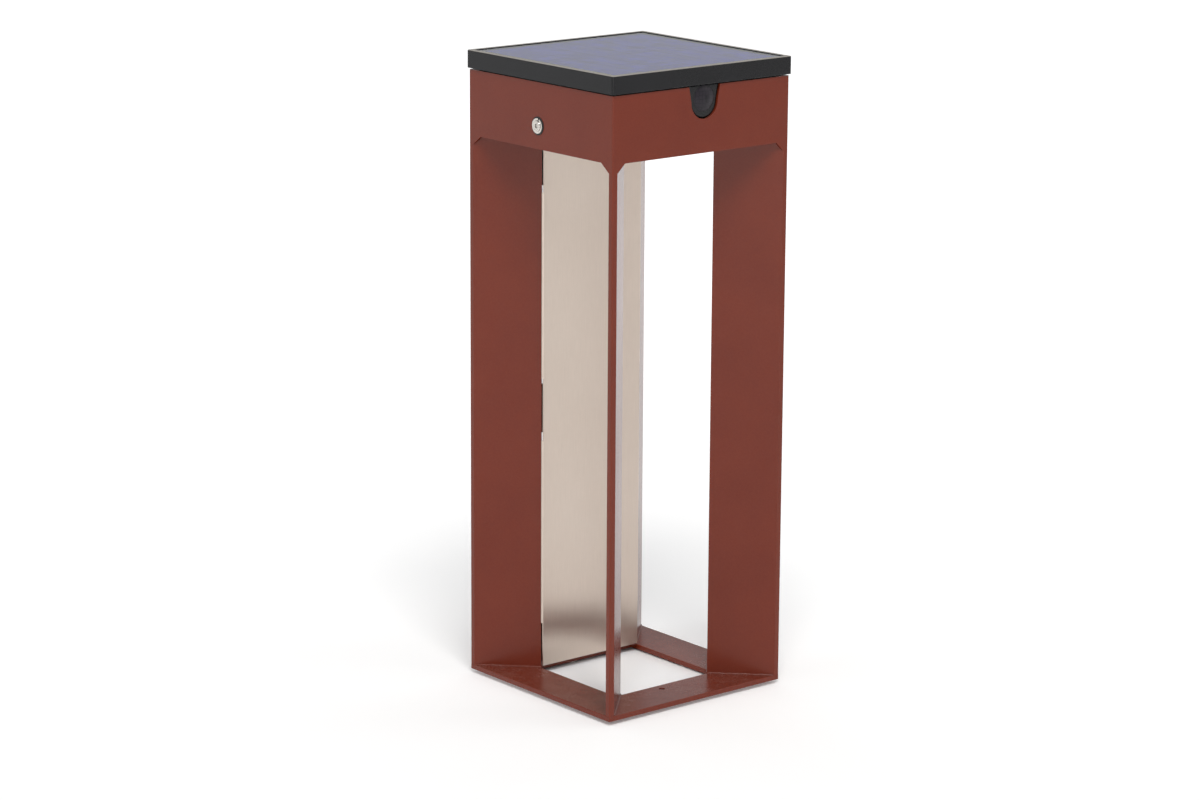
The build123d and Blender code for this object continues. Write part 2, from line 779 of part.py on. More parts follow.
with BuildPart() as tact_switch:
    with Locations((*button_at, board_level)):
        Box(switch_side, switch_side, switch_height, align=hanging)
        Cylinder(plunger_radius, plunger_reach, align=hanging)
save(tact_switch, "tact_switch")

button_proud = 1.5           # the button stands this far below the housing's floor
button_flange = 6.5
stem_radius = 2.0
button_travel = 1.1          # gap between the stem and the switch at rest
button_rim = 1.2
button_round = 0.6
stem_top = board_level - plunger_reach - button_travel
flange_level = floor_top + slip_fit

with BuildPart() as mode_button:
    with Locations((*button_at, housing_bottom - button_proud)):
        Cylinder(button_radius, flange_level - housing_bottom + button_proud, align=seated)
    fillet(mode_button.edges().group_by(Axis.Z)[0], button_round)
    with Locations((*button_at, flange_level)):
        Cylinder(button_flange, button_rim, align=seated)
        Cylinder(stem_radius, stem_top - flange_level, align=seated)
save(mode_button, "mode_button")

port_bottom = floor_top + loose_fit
shell = (9.0, 3.2, 1.4)      # sides and corner
mouth = (8.4, 2.6, 1.2)
tongue = (6.6, 0.7)
port_board_size = (16.0, 12.0, 1.0)
mouth_depth = 5.0

with BuildPart() as charge_port:
    with BuildSketch(level(port_bottom)):
        with Locations(port_at):
            RectangleRounded(*shell)
    extrude(amount=port_top - port_bottom)
    with BuildSketch(level(port_bottom)):
        with Locations(port_at):
            RectangleRounded(*mouth)
            Rectangle(*tongue, mode=Mode.SUBTRACT)
    extrude(amount=mouth_depth, mode=Mode.SUBTRACT)
save(charge_port, "charge_port")

with BuildPart() as port_board:
    with BuildSketch(level(port_top)):
        with Locations(port_at):
            RectangleRounded(*port_board_size)
    extrude(amount=port_board_thickness)
save(port_board, "port_board")

plug_flange = 1.2
plug_cover = (15.0, 9.0, 3.0)
plug_tab = (7.0, 5.0, 2.0)
tab_reach = 8.5
plug_corner = 1.4

with BuildPart() as port_plug:
    with BuildSketch(level(housing_bottom - plug_flange)):
        with Locations(port_at):
            RectangleRounded(*plug_cover)
        # finger tab
        with Locations((port_at[0] - tab_reach, port_at[1])):
            RectangleRounded(*plug_tab)
    extrude(amount=plug_flange)
    with BuildSketch(level(housing_bottom)):
        with Locations(port_at):
            RectangleRounded(slot_length - loose_fit, slot_width - loose_fit, plug_corner)
    extrude(amount=housing_floor)
save(port_plug, "port_plug")


# ---- battery ---------------------------------------------------------------------------------------
cell_radius = 9.2
cell_length = 65.0
cell_axes = (26.2, 45.8)
cell_height = 382.4
holder_bottom = 371.0
holder_top = 381.0
holder_half = 37.0
holder_width = 41.0
cell_round = 0.8
holder_feet_x = 43.0
holder_feet_y = (22.0, 52.0)
foot_width = 8.0
contact_thickness = 0.7
contact_side = 10.0
holder_middle = 36.0
foot_height = 3.0

with BuildPart() as battery_cells:
    with Locations([facing(-cell_length / 2, y, cell_height, (1, 0, 0)) for y in cell_axes]):
        Cylinder(cell_radius, cell_length, align=seated)
    fillet(battery_cells.edges().filter_by(GeomType.CIRCLE), cell_round)
save(battery_cells, "battery_cells")

with BuildPart() as battery_holder:
    with Locations((0, holder_middle, holder_bottom)):
        Box(2 * holder_half, holder_width, holder_top - holder_bottom, align=seated)
    with Locations([(0, y, holder_bottom) for y in holder_feet_y]):
        Box(2 * holder_feet_x + foot_width, foot_width, foot_height, align=seated)
    with Locations([(x, y, floor_top) for x in (-holder_feet_x, holder_feet_x) for y in holder_feet_y]):
        Box(foot_width, foot_width, holder_bottom - floor_top, align=seated)
    bay = cell_length + 2 * contact_thickness
    with Locations([facing(-bay / 2, y, cell_height, (1, 0, 0)) for y in cell_axes]):
        Cylinder(cell_radius + loose_fit, bay, align=seated, mode=Mode.SUBTRACT)
save(battery_holder, "battery_holder")

with BuildPart() as battery_contacts:
    for side in (-1, 1):
        for y in cell_axes:
            with BuildSketch(facing(side * cell_length / 2, y, cell_height, (side, 0, 0))):
                Rectangle(contact_side, contact_side)
            extrude(amount=contact_thickness)
save(battery_contacts, "battery_contacts")


# ---- internal wires --------------------------------------------------------------------------------
wire_radius = 0.75
wire_spacing = 2.2


def wire_pair(name, points, bend):
    with BuildPart() as lead:
        for shift in (-wire_spacing / 2, wire_spacing / 2):
            with BuildLine() as path:
                FilletPolyline(*[(x + shift, y, z) for x, y, z in points], radius=bend)
            with BuildSketch(Plane(origin=path.line @ 0, z_dir=path.line % 0)):
                Circle(wire_radius)
            sweep(path=path.line)
    save(lead, name)


def above(name):
    x, y = connectors[name]
    return (x, y, connector_top)


high_run = 398.0             # heights of the leads' level runs
low_run = 395.0
sensor_run = 394.0
sensor_start = 384.0
sensor_drop = -54.5          # plan Y of the sensor leads' rise
led_lead_y = 5.0
easy_bend = 3.5
tight_bend = 2.0
tab_x = 34.5
tab_top = cell_height + contact_side / 2

wire_pair("panel_leads", [(*wire_slot_at, adhesive_top), (*wire_slot_at, high_run),
                          (*connectors["panel"], high_run), above("panel")], easy_bend)
wire_pair("led_leads", [(0.0, led_lead_y, led_seat + led_board_thickness), (0.0, led_lead_y, low_run),
                        (*connectors["led"], low_run), above("led")], easy_bend)
wire_pair("sensor_leads", [(sensor_x, spigot_end + sensor_board_thickness, sensor_start),
                           (sensor_x, sensor_drop, sensor_start),
                           (sensor_x, sensor_drop, sensor_run), (*connectors["sensor"], sensor_run),
                           above("sensor")], tight_bend)
wire_pair("battery_leads", [(tab_x, cell_axes[0], tab_top), (tab_x, cell_axes[0], high_run),
                            (*connectors["battery"], high_run), above("battery")], easy_bend)
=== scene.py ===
import json
import math

import bmesh
import bpy
from mathutils import Matrix, Vector


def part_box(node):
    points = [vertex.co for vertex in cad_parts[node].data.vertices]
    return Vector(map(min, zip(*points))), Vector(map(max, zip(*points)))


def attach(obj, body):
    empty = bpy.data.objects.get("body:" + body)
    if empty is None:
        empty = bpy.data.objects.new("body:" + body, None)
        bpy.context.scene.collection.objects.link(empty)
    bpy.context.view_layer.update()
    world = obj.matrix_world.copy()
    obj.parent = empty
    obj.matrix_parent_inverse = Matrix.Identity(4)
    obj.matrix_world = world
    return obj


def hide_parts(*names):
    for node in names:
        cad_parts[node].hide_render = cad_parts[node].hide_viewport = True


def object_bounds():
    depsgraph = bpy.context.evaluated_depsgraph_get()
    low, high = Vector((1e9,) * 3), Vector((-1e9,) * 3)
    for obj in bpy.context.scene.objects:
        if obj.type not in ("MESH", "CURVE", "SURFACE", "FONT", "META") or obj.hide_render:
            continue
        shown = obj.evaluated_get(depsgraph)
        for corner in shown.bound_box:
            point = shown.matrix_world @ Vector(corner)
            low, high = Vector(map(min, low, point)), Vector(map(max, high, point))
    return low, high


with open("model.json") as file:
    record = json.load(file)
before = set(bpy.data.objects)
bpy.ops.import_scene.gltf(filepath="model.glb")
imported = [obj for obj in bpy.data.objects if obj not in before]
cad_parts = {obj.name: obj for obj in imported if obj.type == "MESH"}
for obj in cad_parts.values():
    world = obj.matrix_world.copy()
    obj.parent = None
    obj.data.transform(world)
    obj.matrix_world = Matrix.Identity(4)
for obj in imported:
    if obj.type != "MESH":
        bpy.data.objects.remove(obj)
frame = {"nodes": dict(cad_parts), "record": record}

# Solar wall lantern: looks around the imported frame. Metres, the sensor looks along -Y, the wall is at +Y.
nodes = frame["nodes"]
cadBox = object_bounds()
mm = 0.001
sealLow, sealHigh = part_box("lock_seal")
# where the lock screw's axis leaves its seal
lockAxis = Vector((sealLow.x, (sealLow.y + sealHigh.y) / 2, (sealLow.z + sealHigh.z) / 2))
scene = bpy.context.scene
scene.view_settings.view_transform = "Standard"


# shader and geometry tree helpers

def wire(tree, node, inputs):
    for name, value in inputs.items():
        socket = node.inputs[name]
        if isinstance(value, bpy.types.NodeSocket):
            tree.links.new(value, socket)
        else:
            socket.default_value = value
    return node


def make(tree, kind, inputs=None, **settings):
    node = tree.nodes.new(kind)
    for key, value in settings.items():
        setattr(node, key, value)
    return wire(tree, node, inputs or {})


def maths(tree, operation, first, second=0.0, clamp=False):
    node = make(tree, "ShaderNodeMath", operation=operation, use_clamp=clamp)
    return wire(tree, node, {0: first, 1: second}).outputs[0]


def vectorMaths(tree, operation, first, second=(0, 0, 0)):
    node = make(tree, "ShaderNodeVectorMath", {0: first, 1: second}, operation=operation)
    return node.outputs["Value" if operation in ("DOT_PRODUCT", "LENGTH") else "Vector"]


def objectSpot(tree):
    return make(tree, "ShaderNodeTexCoord").outputs["Object"]


def noiseAt(tree, spot, scale, detail=2.0, roughness=0.5):
    inputs = {"Vector": spot, "Scale": scale, "Detail": detail, "Roughness": roughness}
    return make(tree, "ShaderNodeTexNoise", inputs).outputs["Fac"]


def mixValue(tree, factor, first, second):
    return make(tree, "ShaderNodeMix", {0: factor, 2: first, 3: second}).outputs[0]


def spread(tree, value, low, high, toLow=0.0, toHigh=1.0):
    node = make(tree, "ShaderNodeMapRange", {"Value": value, "From Min": low, "From Max": high,
                                             "To Min": toLow, "To Max": toHigh})
    return node.outputs["Result"]


def blendColour(tree, factor, first, second):
    node = make(tree, "ShaderNodeMix", data_type="RGBA")
    wire(tree, node, {0: factor, 6: first, 7: second})
    return node.outputs[2]


def newGroup(name, ins, outs):
    group = bpy.data.node_groups.new(name, "ShaderNodeTree")
    for title, kind, value in ins:
        socket = group.interface.new_socket(title, in_out="INPUT", socket_type="NodeSocket" + kind)
        socket.default_value = value
    for title, kind in outs:
        group.interface.new_socket(title, in_out="OUTPUT", socket_type="NodeSocket" + kind)
    return group, make(group, "NodeGroupInput").outputs, make(group, "NodeGroupOutput").inputs


def place(tree, group, inputs):
    node = make(tree, "ShaderNodeGroup", node_tree=group)
    return wire(tree, node, inputs).outputs


# effects that several materials share

def colourMottleGroup():
    group, given, result = newGroup("colourMottle", [
        ("Light", "Color", (1, 1, 1, 1)), ("Dark", "Color", (0, 0, 0, 1)),
        ("Scale", "Float", 30.0), ("Fine Scale", "Float", 900.0), ("Fine Share", "Float", 0.3)],
        [("Color", "Color")])
    spot = objectSpot(group)
    broad = noiseAt(group, spot, given["Scale"], 4.0)
    fine = noiseAt(group, spot, given["Fine Scale"])
    amount = spread(group, mixValue(group, given["Fine Share"], broad, fine), 0.3, 0.7)
    group.links.new(blendColour(group, amount, given["Dark"], given["Light"]), result["Color"])
    return group


def surfaceGrainGroup():
    group, given, result = newGroup("surfaceGrain", [
        ("Scale", "Float", 1500.0), ("Stretch", "Vector", (1, 1, 1)), ("Detail", "Float", 2.0)],
        [("Height", "Float"), ("Smear", "Float")])
    smearScale = 11.0
    spot = objectSpot(group)
    pulled = vectorMaths(group, "MULTIPLY", spot, given["Stretch"])
    group.links.new(noiseAt(group, pulled, given["Scale"], given["Detail"]), result["Height"])
    group.links.new(spread(group, noiseAt(group, spot, smearScale), 0.2, 0.8), result["Smear"])
    return group


# Edges turn lighter: rubbing of the paint and chips, and on the lid's black plastic a painted highlight along
# the rim
def edgeWearAndHighlightGroup():
    group, given, result = newGroup("edgeWearAndHighlight", [
        ("Radius", "Float", 0.0006), ("Amount", "Float", 0.5), ("Scale", "Float", 260.0)],
        [("Mask", "Float"), ("Chips", "Float")])
    rounded = make(group, "ShaderNodeBevel", {"Radius": given["Radius"]}, samples=4).outputs["Normal"]
    flat = make(group, "ShaderNodeNewGeometry").outputs["Normal"]
    turned = maths(group, "SUBTRACT", 1.0, vectorMaths(group, "DOT_PRODUCT", rounded, flat))
    edge = spread(group, turned, 0.05, 0.22)
    noise = noiseAt(group, objectSpot(group), given["Scale"], 5.0, 0.7)
    above = maths(group, "SUBTRACT", noise, maths(group, "SUBTRACT", 1.0, given["Amount"]))
    broken = spread(group, above, -0.12, 0.08)
    rare = spread(group, above, 0.14, 0.2)
    group.links.new(maths(group, "MULTIPLY", edge, broken, clamp=True), result["Mask"])
    group.links.new(maths(group, "MULTIPLY", edge, rare, clamp=True), result["Chips"])
    return group


# Upward faces take a pale tone: partly a real dusting, partly painted sheen standing in for grazing reflection
# on top faces
def dustAndSheenGroup():
    group, given, result = newGroup("dustAndSheenMask", [
        ("Amount", "Float", 0.2), ("Scale", "Float", 60.0), ("Evenness", "Float", 0.0)], [("Mask", "Float")])
    speckScale = 1400.0
    spot = objectSpot(group)
    normal = make(group, "ShaderNodeNewGeometry").outputs["Normal"]
    up = make(group, "ShaderNodeSeparateXYZ", {0: normal}).outputs["Z"]
    broad = noiseAt(group, spot, given["Scale"], 8.0, 0.75)
    specks = noiseAt(group, spot, speckScale, 1.0)
    patchy = maths(group, "MULTIPLY", spread(group, broad, 0.35, 0.75), spread(group, specks, 0.3, 0.7))
    cloud = mixValue(group, given["Evenness"], patchy, 1.0)
    facing = maths(group, "MULTIPLY", spread(group, up, 0.3, 0.9), given["Amount"])
    group.links.new(maths(group, "MULTIPLY", cloud, facing, clamp=True), result["Mask"])
    return group


# Painted shade: the colour darkens towards near-black where ambient occlusion finds surfaces close by, in
# recesses, sockets and corners
def paintedRecessShadeGroup():
    group, given, result = newGroup("paintedRecessShade", [
        ("Color", "Color", (1, 1, 1, 1)), ("Reach", "Float", 0.0012), ("Amount", "Float", 0.8)],
        [("Color", "Color")])
    nearby = make(group, "ShaderNodeAmbientOcclusion", {"Distance": given["Reach"]}, samples=6)
    clear = nearby.outputs["AO"]
    deep = maths(group, "MULTIPLY", spread(group, clear, 0.85, 0.35), given["Amount"], clamp=True)
    paintedShadeColour = (0.012, 0.010, 0.009, 1)
    group.links.new(blendColour(group, deep, given["Color"], paintedShadeColour), result["Color"])
    return group


mottle = colourMottleGroup()
grain = surfaceGrainGroup()
edgeWearAndHighlight = edgeWearAndHighlightGroup()
dustAndSheen = dustAndSheenGroup()
recessShade = paintedRecessShadeGroup()


# materials

def bareMaterial(name):
    material = bpy.data.materials.new(name)
    material.use_nodes = True
    tree = material.node_tree
    return material, tree, tree.nodes["Principled BSDF"]


def grainBump(tree, height, depth, strength=1.0):
    inputs = {"Height": height, "Distance": depth * mm, "Strength": strength}
    return make(tree, "ShaderNodeBump", inputs).outputs["Normal"]


def mottled(tree, light, dark, scale=30.0, share=0.3, fineScale=900.0):
    return place(tree, mottle, {"Light": (*light, 1), "Dark": (*dark, 1), "Scale": scale,
                                "Fine Share": share, "Fine Scale": fineScale})["Color"]


# depths and radii are in millimetres; edge rubbing and highlight, dusting and sheen, even and recess shade are
# shares. Recess shade is painted shade, sheen on upward faces is painted sheen, and the lighter lid edges are a
# painted highlight
# pale tone of the dusting and painted sheen on upward faces
dustAndSheenColour = (0.55, 0.51, 0.46, 1)


def finishMaterial(name, light, dark, rough=(0.4, 0.5), metal=0.0, mottleScale=30.0, fine=0.3,
                   grainScale=1500.0, depth=0.02, stretch=(1, 1, 1), wearAndHighlight=None, dustAndSheenShare=0.0, even=0.0,
                   recessShadeShare=0.0, fixed=None):
    material, tree, shader = bareMaterial(name)
    colour = mottled(tree, light, dark, mottleScale, fine)
    relief = place(tree, grain, {"Scale": grainScale, "Stretch": stretch})
    roughness = spread(tree, relief["Smear"], 0.0, 1.0, *rough)
    metallic = metal
    # edges lightened: paint rubbing and chips, and on the lid a painted highlight
    if wearAndHighlight:
        wornAndHighlit = place(tree, edgeWearAndHighlight, {"Radius": wearAndHighlight["radius"] * mm, "Amount": wearAndHighlight["amount"]})
        colour = blendColour(tree, wornAndHighlit["Mask"], colour, (*wearAndHighlight["rubbedAndHighlit"], 1))
        colour = blendColour(tree, wornAndHighlit["Chips"], colour, (*wearAndHighlight["bare"], 1))
        metallic = maths(tree, "MAXIMUM", wornAndHighlit["Chips"], metal)
    # upward faces lightened: a dusting and painted sheen
    if dustAndSheenShare:
        dustAndSheenFilm = place(tree, dustAndSheen, {"Amount": dustAndSheenShare, "Evenness": even})["Mask"]
        colour = blendColour(tree, dustAndSheenFilm, colour, dustAndSheenColour)
        roughness = maths(tree, "ADD", roughness, maths(tree, "MULTIPLY", dustAndSheenFilm, 0.4), clamp=True)
    # painted shade in recesses and corners
    if recessShadeShare:
        colour = place(tree, recessShade, {"Color": colour, "Amount": recessShadeShare})["Color"]
    wire(tree, shader, {"Base Color": colour, "Roughness": roughness, "Metallic": metallic,
                        "Normal": grainBump(tree, relief["Height"], depth)})
    wire(tree, shader, fixed or {})
    return material


coatLook = {
    "light": (0.160, 0.0225, 0.0075),
    "dark": (0.128, 0.016, 0.0050),
    "rough": (0.20, 0.28),
    "wearAndHighlight": {"radius": 0.5, "amount": 0.46, "rubbedAndHighlit": (0.22, 0.055, 0.035), "bare": (0.62, 0.56, 0.51)},
    "fixed": {"Specular IOR Level": 0.33},
}

steelLook = {
    "light": (0.70, 0.605, 0.53),
    "dark": (0.65, 0.555, 0.48),
    "rough": (0.30, 0.36),
    "pull": 0.92,
    "grainPull": (1.0, 1.0, 0.012),   # long grain, up the panel
    "grainScale": 5200.0,
}


def steelSheet():
    material, tree, shader = bareMaterial("steelSheet")
    look = steelLook
    colour = mottled(tree, look["light"], look["dark"], 9.0, 0.15, 300.0)
    relief = place(tree, grain, {"Scale": look["grainScale"], "Stretch": look["grainPull"], "Detail": 3.0})
    streak = spread(tree, relief["Height"], 0.35, 0.65, 0.965, 1.025)
    tinted = vectorMaths(tree, "MULTIPLY", colour, streak)
    across = make(tree, "ShaderNodeTangent", direction_type="RADIAL", axis="Z").outputs[0]
    wire(tree, shader, {"Base Color": tinted, "Metallic": 1.0, "Anisotropic": look["pull"],
                        "Tangent": across, "Roughness": spread(tree, relief["Smear"], 0.0, 1.0, *look["rough"]),
                        "Normal": grainBump(tree, relief["Height"], 0.006, 0.4)})
    return material


glassLook = {"tint": (0.95, 0.97, 1.0, 1), "rough": (0.04, 0.10), "index": 1.5, "ripple": 0.005,
             "dustAndSheenShare": 0.5}


def coverGlass():
    material, tree, shader = bareMaterial("coverGlass")
    relief = place(tree, grain, {"Scale": 620.0, "Detail": 1.0})
    dustAndSheenFilm = place(tree, dustAndSheen, {"Amount": glassLook["dustAndSheenShare"]})["Mask"]
    roughness = maths(tree, "ADD", spread(tree, relief["Smear"], 0.0, 1.0, *glassLook["rough"]),
                      maths(tree, "MULTIPLY", dustAndSheenFilm, 0.25))
    wire(tree, shader, {"Base Color": glassLook["tint"], "Roughness": roughness, "IOR": glassLook["index"],
                        "Transmission Weight": 1.0,
                        "Normal": grainBump(tree, relief["Height"], glassLook["ripple"])})
    return material


cellLook = {"deep": (0.008, 0.014, 0.26, 1), "pale": (0.024, 0.038, 0.52, 1), "crystal": 110.0,
            "grain": 1800.0}


def siliconCell():
    material, tree, shader = bareMaterial("siliconCell")
    flakes = make(tree, "ShaderNodeTexVoronoi", {"Vector": objectSpot(tree), "Scale": cellLook["crystal"]})
    shade = make(tree, "ShaderNodeSeparateColor", {0: flakes.outputs["Color"]}).outputs[0]
    share = spread(tree, shade, 0.0, 1.0, 0.15, 0.85)
    relief = place(tree, grain, {"Scale": cellLook["grain"]})
    wire(tree, shader, {"Base Color": blendColour(tree, share, cellLook["deep"], cellLook["pale"]),
                        "Roughness": spread(tree, relief["Smear"], 0.0, 1.0, 0.3, 0.42),
                        "Normal": grainBump(tree, relief["Height"], 0.01)})
    return material


def circuitBoard():
    material, tree, shader = bareMaterial("circuitBoard")
    spot = objectSpot(tree)
    grid = make(tree, "ShaderNodeTexBrick", {"Vector": spot, "Scale": 190.0, "Mortar Size": 0.025,
                                             "Color1": (0, 0, 0, 1), "Color2": (0, 0, 0, 1),
                                             "Mortar": (1, 1, 1, 1)}).outputs["Color"]
    patches = spread(tree, noiseAt(tree, spot, 60.0), 0.45, 0.55)
    trace = maths(tree, "MULTIPLY", grid, patches, clamp=True)
    mask = mottled(tree, (0.022, 0.16, 0.07), (0.012, 0.10, 0.045))
    copper = (0.05, 0.27, 0.13, 1)
    wire(tree, shader, {"Base Color": blendColour(tree, trace, mask, copper), "Roughness": 0.32,
                        "Normal": grainBump(tree, trace, 0.03)})
    return material


def ledPhosphor():
    material, tree, shader = bareMaterial("ledPhosphor")
    shade = mottled(tree, (0.93, 0.78, 0.22), (0.85, 0.66, 0.12), fineScale=3000.0)
    wire(tree, shader, {"Base Color": shade, "Roughness": 0.35})
    return material


def opalLens():
    material, tree, shader = bareMaterial("opalLens")
    ringPitch = 1.6 * mm
    away = vectorMaths(tree, "LENGTH", vectorMaths(tree, "MULTIPLY", objectSpot(tree), (1, 1, 0)))
    rings = maths(tree, "SINE", maths(tree, "MULTIPLY", away, 2 * math.pi / ringPitch))
    shade = mottled(tree, (0.92, 0.92, 0.90), (0.86, 0.86, 0.84))
    wire(tree, shader, {"Base Color": shade, "Roughness": 0.35, "Subsurface Weight": 0.4,
                        "Subsurface Scale": 0.004, "Normal": grainBump(tree, rings, 0.12)})
    return material


# moulded lens of a motion sensor: small facets, as seen through dark plastic

def facetedLens():
    material, tree, shader = bareMaterial("facetedLens")
    inputs = {"Vector": objectSpot(tree), "Scale": 420.0, "Randomness": 0.25}
    facets = make(tree, "ShaderNodeTexVoronoi", inputs, feature="DISTANCE_TO_EDGE").outputs["Distance"]
    groove = spread(tree, facets, 0.0, 0.12)
    shade = mottled(tree, (0.026, 0.022, 0.028), (0.018, 0.015, 0.020))
    dim = blendColour(tree, groove, (0.010, 0.009, 0.011, 1), shade)
    wire(tree, shader, {"Base Color": dim, "Roughness": 0.32, "Specular IOR Level": 0.2,
                        "Normal": grainBump(tree, groove, 0.04)})
    return material


# screw steel: turned marks on the head, a thread on the shank

threadLook = {"pitch": 0.8, "turnedPitch": 0.18, "turnedShare": 0.03, "depth": 0.35}


def threadedSteel(axis):
    material, tree, shader = bareMaterial("threadedSteel")
    away = vectorMaths(tree, "SUBTRACT", objectSpot(tree), axis)
    parts = make(tree, "ShaderNodeSeparateXYZ", {0: away}).outputs
    turn = maths(tree, "DIVIDE", maths(tree, "ARCTAN2", parts["Z"], parts["Y"]), 2 * math.pi)
    along = maths(tree, "ADD", maths(tree, "DIVIDE", parts["X"], threadLook["pitch"] * mm), turn)
    ridge = maths(tree, "ABSOLUTE", maths(tree, "SUBTRACT", maths(tree, "FRACT", along), 0.5))
    inside = maths(tree, "GREATER_THAN", parts["X"], 0.0)
    flat = make(tree, "ShaderNodeCombineXYZ", {"Y": parts["Y"], "Z": parts["Z"]}).outputs[0]
    waves = 2 * math.pi / (threadLook["turnedPitch"] * mm)
    phase = maths(tree, "MULTIPLY", vectorMaths(tree, "LENGTH", flat), waves)
    rings = maths(tree, "MULTIPLY", maths(tree, "SINE", phase), threadLook["turnedShare"])
    shade = mottled(tree, (0.80, 0.76, 0.71), (0.68, 0.64, 0.59), 240.0)
    # painted shade in the hex socket and the thread roots
    shade = place(tree, recessShade, {"Color": shade})["Color"]
    relief = mixValue(tree, inside, rings, ridge)
    wire(tree, shader, {"Base Color": shade, "Metallic": 1.0, "Roughness": 0.24,
                        "Normal": grainBump(tree, relief, threadLook["depth"])})
    return material


finishes = {
    # powder coat, white paint and screw steel get painted shade in recesses through their recess shade share
    "powderCoat": finishMaterial("powderCoat", mottleScale=22.0, fine=0.45, grainScale=1900.0, depth=0.03,
                                 # the pale top of the base plate is painted sheen with a little dusting
                                 dustAndSheenShare=0.16, recessShadeShare=0.45, **coatLook),
    "whitePaint": finishMaterial("whitePaint", (0.97, 0.975, 0.985), (0.90, 0.905, 0.92), (0.28, 0.42),
                                 mottleScale=16.0, grainScale=1700.0, depth=0.02, dustAndSheenShare=0.10, recessShadeShare=0.7),
    "steelSheet": steelSheet(),
    "turnedSteel": finishMaterial("turnedSteel", (0.80, 0.76, 0.71), (0.66, 0.62, 0.57), (0.2, 0.34), 1.0,
                                  mottleScale=240.0, stretch=(0.06, 1, 1), grainScale=3200.0, depth=0.01,
                                  recessShadeShare=0.7),
    "zincSteel": finishMaterial("zincSteel", (0.66, 0.67, 0.68), (0.50, 0.51, 0.52), (0.3, 0.45), 1.0,
                                mottleScale=340.0, fine=0.2, depth=0.01, recessShadeShare=0.6),
    "blackSteel": finishMaterial("blackSteel", (0.045, 0.044, 0.043), (0.028, 0.027, 0.027), (0.4, 0.55),
                                 mottleScale=60.0, depth=0.04,
                                 wearAndHighlight={"radius": 0.5, "amount": 0.4, "rubbedAndHighlit": (0.16, 0.155, 0.15),
                                       "bare": (0.5, 0.49, 0.47)}),
    "nickel": finishMaterial("nickel", (0.78, 0.75, 0.68), (0.66, 0.63, 0.57), (0.2, 0.34), 1.0,
                             depth=0.008),
    "lidPlastic": finishMaterial("lidPlastic", (0.011, 0.011, 0.0125), (0.008, 0.008, 0.009), (0.20, 0.28),
                                 # the evenly pale top of the lid is painted sheen of the rim, with a little
                                 # dusting
                                 mottleScale=26.0, grainScale=2400.0, depth=0.012, dustAndSheenShare=0.62, even=0.75,
                                 # light-grey edges: painted highlight along the rim
                                 wearAndHighlight={"radius": 0.45, "amount": 0.5, "rubbedAndHighlit": (0.12, 0.118, 0.118),
                                       "bare": (0.30, 0.29, 0.29)}, fixed={"Specular IOR Level": 0.27}),
    "trayPlastic": finishMaterial("trayPlastic", (0.022, 0.022, 0.023), (0.014, 0.014, 0.015), (0.42, 0.56),
                                  mottleScale=24.0, grainScale=1500.0, depth=0.05),
    "sensorPlastic": finishMaterial("sensorPlastic", (0.012, 0.012, 0.013), (0.008, 0.008, 0.009),
                                    (0.20, 0.28), grainScale=2600.0, depth=0.01,
                                    fixed={"Specular IOR Level": 0.3}),
    "lensPlastic": facetedLens(),
    "threadedSteel": threadedSteel(lockAxis),
    "buttonPlastic": finishMaterial("buttonPlastic", (0.10, 0.10, 0.105), (0.075, 0.075, 0.08), (0.5, 0.6)),
    "nylon": finishMaterial("nylon", (0.78, 0.76, 0.70), (0.70, 0.68, 0.62), (0.4, 0.5)),
    "rubber": finishMaterial("rubber", (0.020, 0.020, 0.020), (0.012, 0.012, 0.012), (0.66, 0.8),
                             grainScale=1100.0, depth=0.05),
    "foam": finishMaterial("foam", (0.035, 0.035, 0.035), (0.018, 0.018, 0.018), (0.85, 0.95),
                           grainScale=900.0, depth=0.2),
    "backsheet": finishMaterial("backsheet", (0.030, 0.034, 0.055), (0.020, 0.023, 0.040), (0.4, 0.5),
                                depth=0.01),
    "coverGlass": coverGlass(),
    "siliconCell": siliconCell(),
    "circuitBoard": circuitBoard(),
    "whiteBoard": finishMaterial("whiteBoard", (0.86, 0.86, 0.84), (0.80, 0.80, 0.78), (0.3, 0.4),
                                 depth=0.01),
    "ledPhosphor": ledPhosphor(),
    "opalLens": opalLens(),
    "epoxy": finishMaterial("epoxy", (0.030, 0.030, 0.031), (0.020, 0.020, 0.021), (0.35, 0.5),
                            mottleScale=400.0, depth=0.02),
    "batteryWrap": finishMaterial("batteryWrap", (0.030, 0.16, 0.34), (0.022, 0.12, 0.27), (0.25, 0.36),
                                  mottleScale=40.0, depth=0.03),
    "redInsulation": finishMaterial("redInsulation", (0.45, 0.03, 0.025), (0.34, 0.02, 0.018)),
    "whiteInsulation": finishMaterial("whiteInsulation", (0.74, 0.73, 0.70), (0.66, 0.65, 0.62)),
    "busbarTin": finishMaterial("busbarTin", (0.13, 0.15, 0.24), (0.10, 0.12, 0.20), (0.35, 0.45), 0.3),
    "silicone": finishMaterial("silicone", (0.010, 0.010, 0.010), (0.006, 0.006, 0.006), (0.3, 0.45),
                               grainScale=500.0, depth=0.05),
}
print("materials made:", len(finishes))

